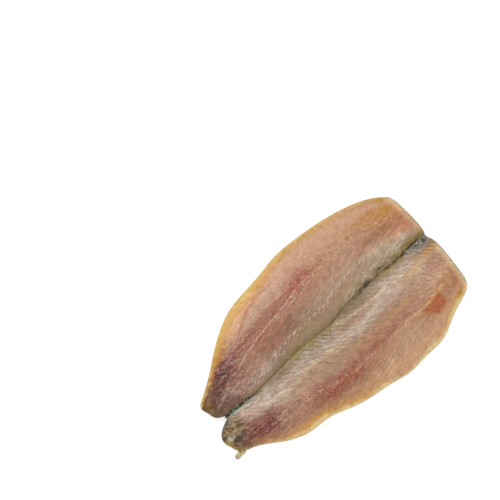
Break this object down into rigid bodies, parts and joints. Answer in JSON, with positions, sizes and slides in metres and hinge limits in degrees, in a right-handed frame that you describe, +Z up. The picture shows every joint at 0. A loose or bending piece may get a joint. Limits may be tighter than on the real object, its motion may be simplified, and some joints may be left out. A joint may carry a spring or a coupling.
{
  "type": "butterflied sardine",
  "caption": "Raw butterflied sardine, headless and boned, opened flat flesh side up: a fillet on each side of the groove along the back.",
  "frame": {"origin": "centre of the underside's box, on the surface that the fish lies on", "axes": "+X along the groove to the head end, +Y to the left fillet seen from above with the head end up, +Z up out of the flesh side"},
  "size_m": [0.119, 0.0718, 0.0069],
  "materials": {
    "flesh": "moist raw fish flesh, pink-brown with a pale yellow fat rim, glistening"
  },
  "bodies": {
    "root": {"sardine": "flesh"}
  },
  "joints": []
}
